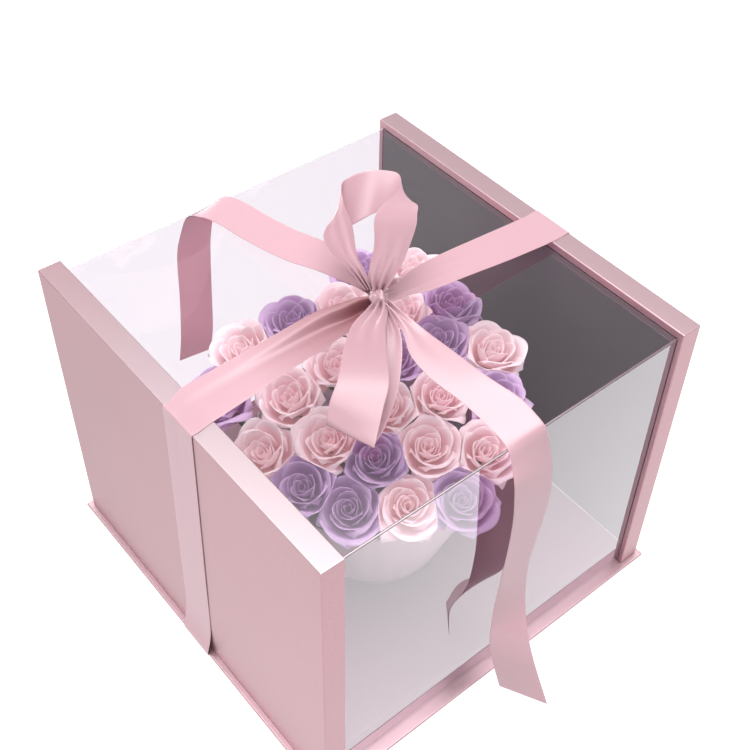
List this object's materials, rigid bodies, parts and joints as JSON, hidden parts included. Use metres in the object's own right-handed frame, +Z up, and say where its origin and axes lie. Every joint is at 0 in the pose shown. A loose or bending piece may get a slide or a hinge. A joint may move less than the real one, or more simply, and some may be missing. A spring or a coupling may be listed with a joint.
{
  "type": "flower box",
  "caption": "Square clear flower box with rose-coloured side panels, a base board with a plinth, a domed rose bouquet inside, and a satin ribbon tied in a bow on top.",
  "frame": {"origin": "centre of the base board's underside, on the surface that the box stands on", "axes": "+Z up; X from the left to the right side panel; -Y towards the front pane, where the long ribbon tail hangs"},
  "size_m": [0.3818, 0.4331, 0.3911],
  "materials": {
    "rose_foil_card": "satin foil paper over grey board",
    "grey_liner_card": "smooth dark grey paper",
    "clear_sheet": "glossy clear plastic sheet",
    "pale_plinth_card": "satin pale card",
    "wrap_paper": "matte wrapping paper",
    "flower_foam": "matte foam",
    "pink_petals": "velvety pale pink petals",
    "lilac_petals": "velvety lilac petals",
    "satin_ribbon": "glossy satin weave"
  },
  "bodies": {
    "base": {"base_board": "rose_foil_card", "bouquet_wrap": "wrap_paper", "flower_foam": "flower_foam", "plinth": "pale_plinth_card", "rose_lilac_01": "lilac_petals", "rose_lilac_02": "lilac_petals", "rose_lilac_03": "lilac_petals", "rose_lilac_04": "lilac_petals", "rose_lilac_05": "lilac_petals", "rose_lilac_06": "lilac_petals", "rose_lilac_07": "lilac_petals", "rose_lilac_08": "lilac_petals", "rose_lilac_09": "lilac_petals", "rose_lilac_10": "lilac_petals", "rose_lilac_11": "lilac_petals", "rose_pink_01": "pink_petals", "rose_pink_02": "pink_petals", "rose_pink_03": "pink_petals", "rose_pink_04": "pink_petals", "rose_pink_05": "pink_petals", "rose_pink_06": "pink_petals", "rose_pink_07": "pink_petals", "rose_pink_08": "pink_petals", "rose_pink_09": "pink_petals", "rose_pink_10": "pink_petals", "rose_pink_11": "pink_petals", "rose_pink_12": "pink_petals", "rose_pink_13": "pink_petals", "rose_pink_14": "pink_petals"},
    "cover": {"clear_back": "clear_sheet", "clear_front": "clear_sheet", "clear_top": "clear_sheet", "left_panel_liner": "grey_liner_card", "left_panel_tray": "rose_foil_card", "right_panel_liner": "grey_liner_card", "right_panel_tray": "rose_foil_card"},
    "ribbon": {"bow_knot": "satin_ribbon", "bow_loop_back": "satin_ribbon", "bow_loop_front": "satin_ribbon", "bow_tail_back_drop": "satin_ribbon", "bow_tail_back_top": "satin_ribbon", "bow_tail_front_drop": "satin_ribbon", "bow_tail_front_top": "satin_ribbon", "ribbon_left_side": "satin_ribbon", "ribbon_left_top": "satin_ribbon", "ribbon_right_side": "satin_ribbon", "ribbon_right_top": "satin_ribbon"}
  },
  "joints": [
    {"name": "cover_lift", "type": "slide", "parent": "base", "child": "cover", "axis": [0, 0, 1], "range_m": [0, 0.3]},
    {"name": "ribbon_lift", "type": "slide", "parent": "cover", "child": "ribbon", "axis": [0, 0, 1], "range_m": [0, 0.32]}
  ]
}
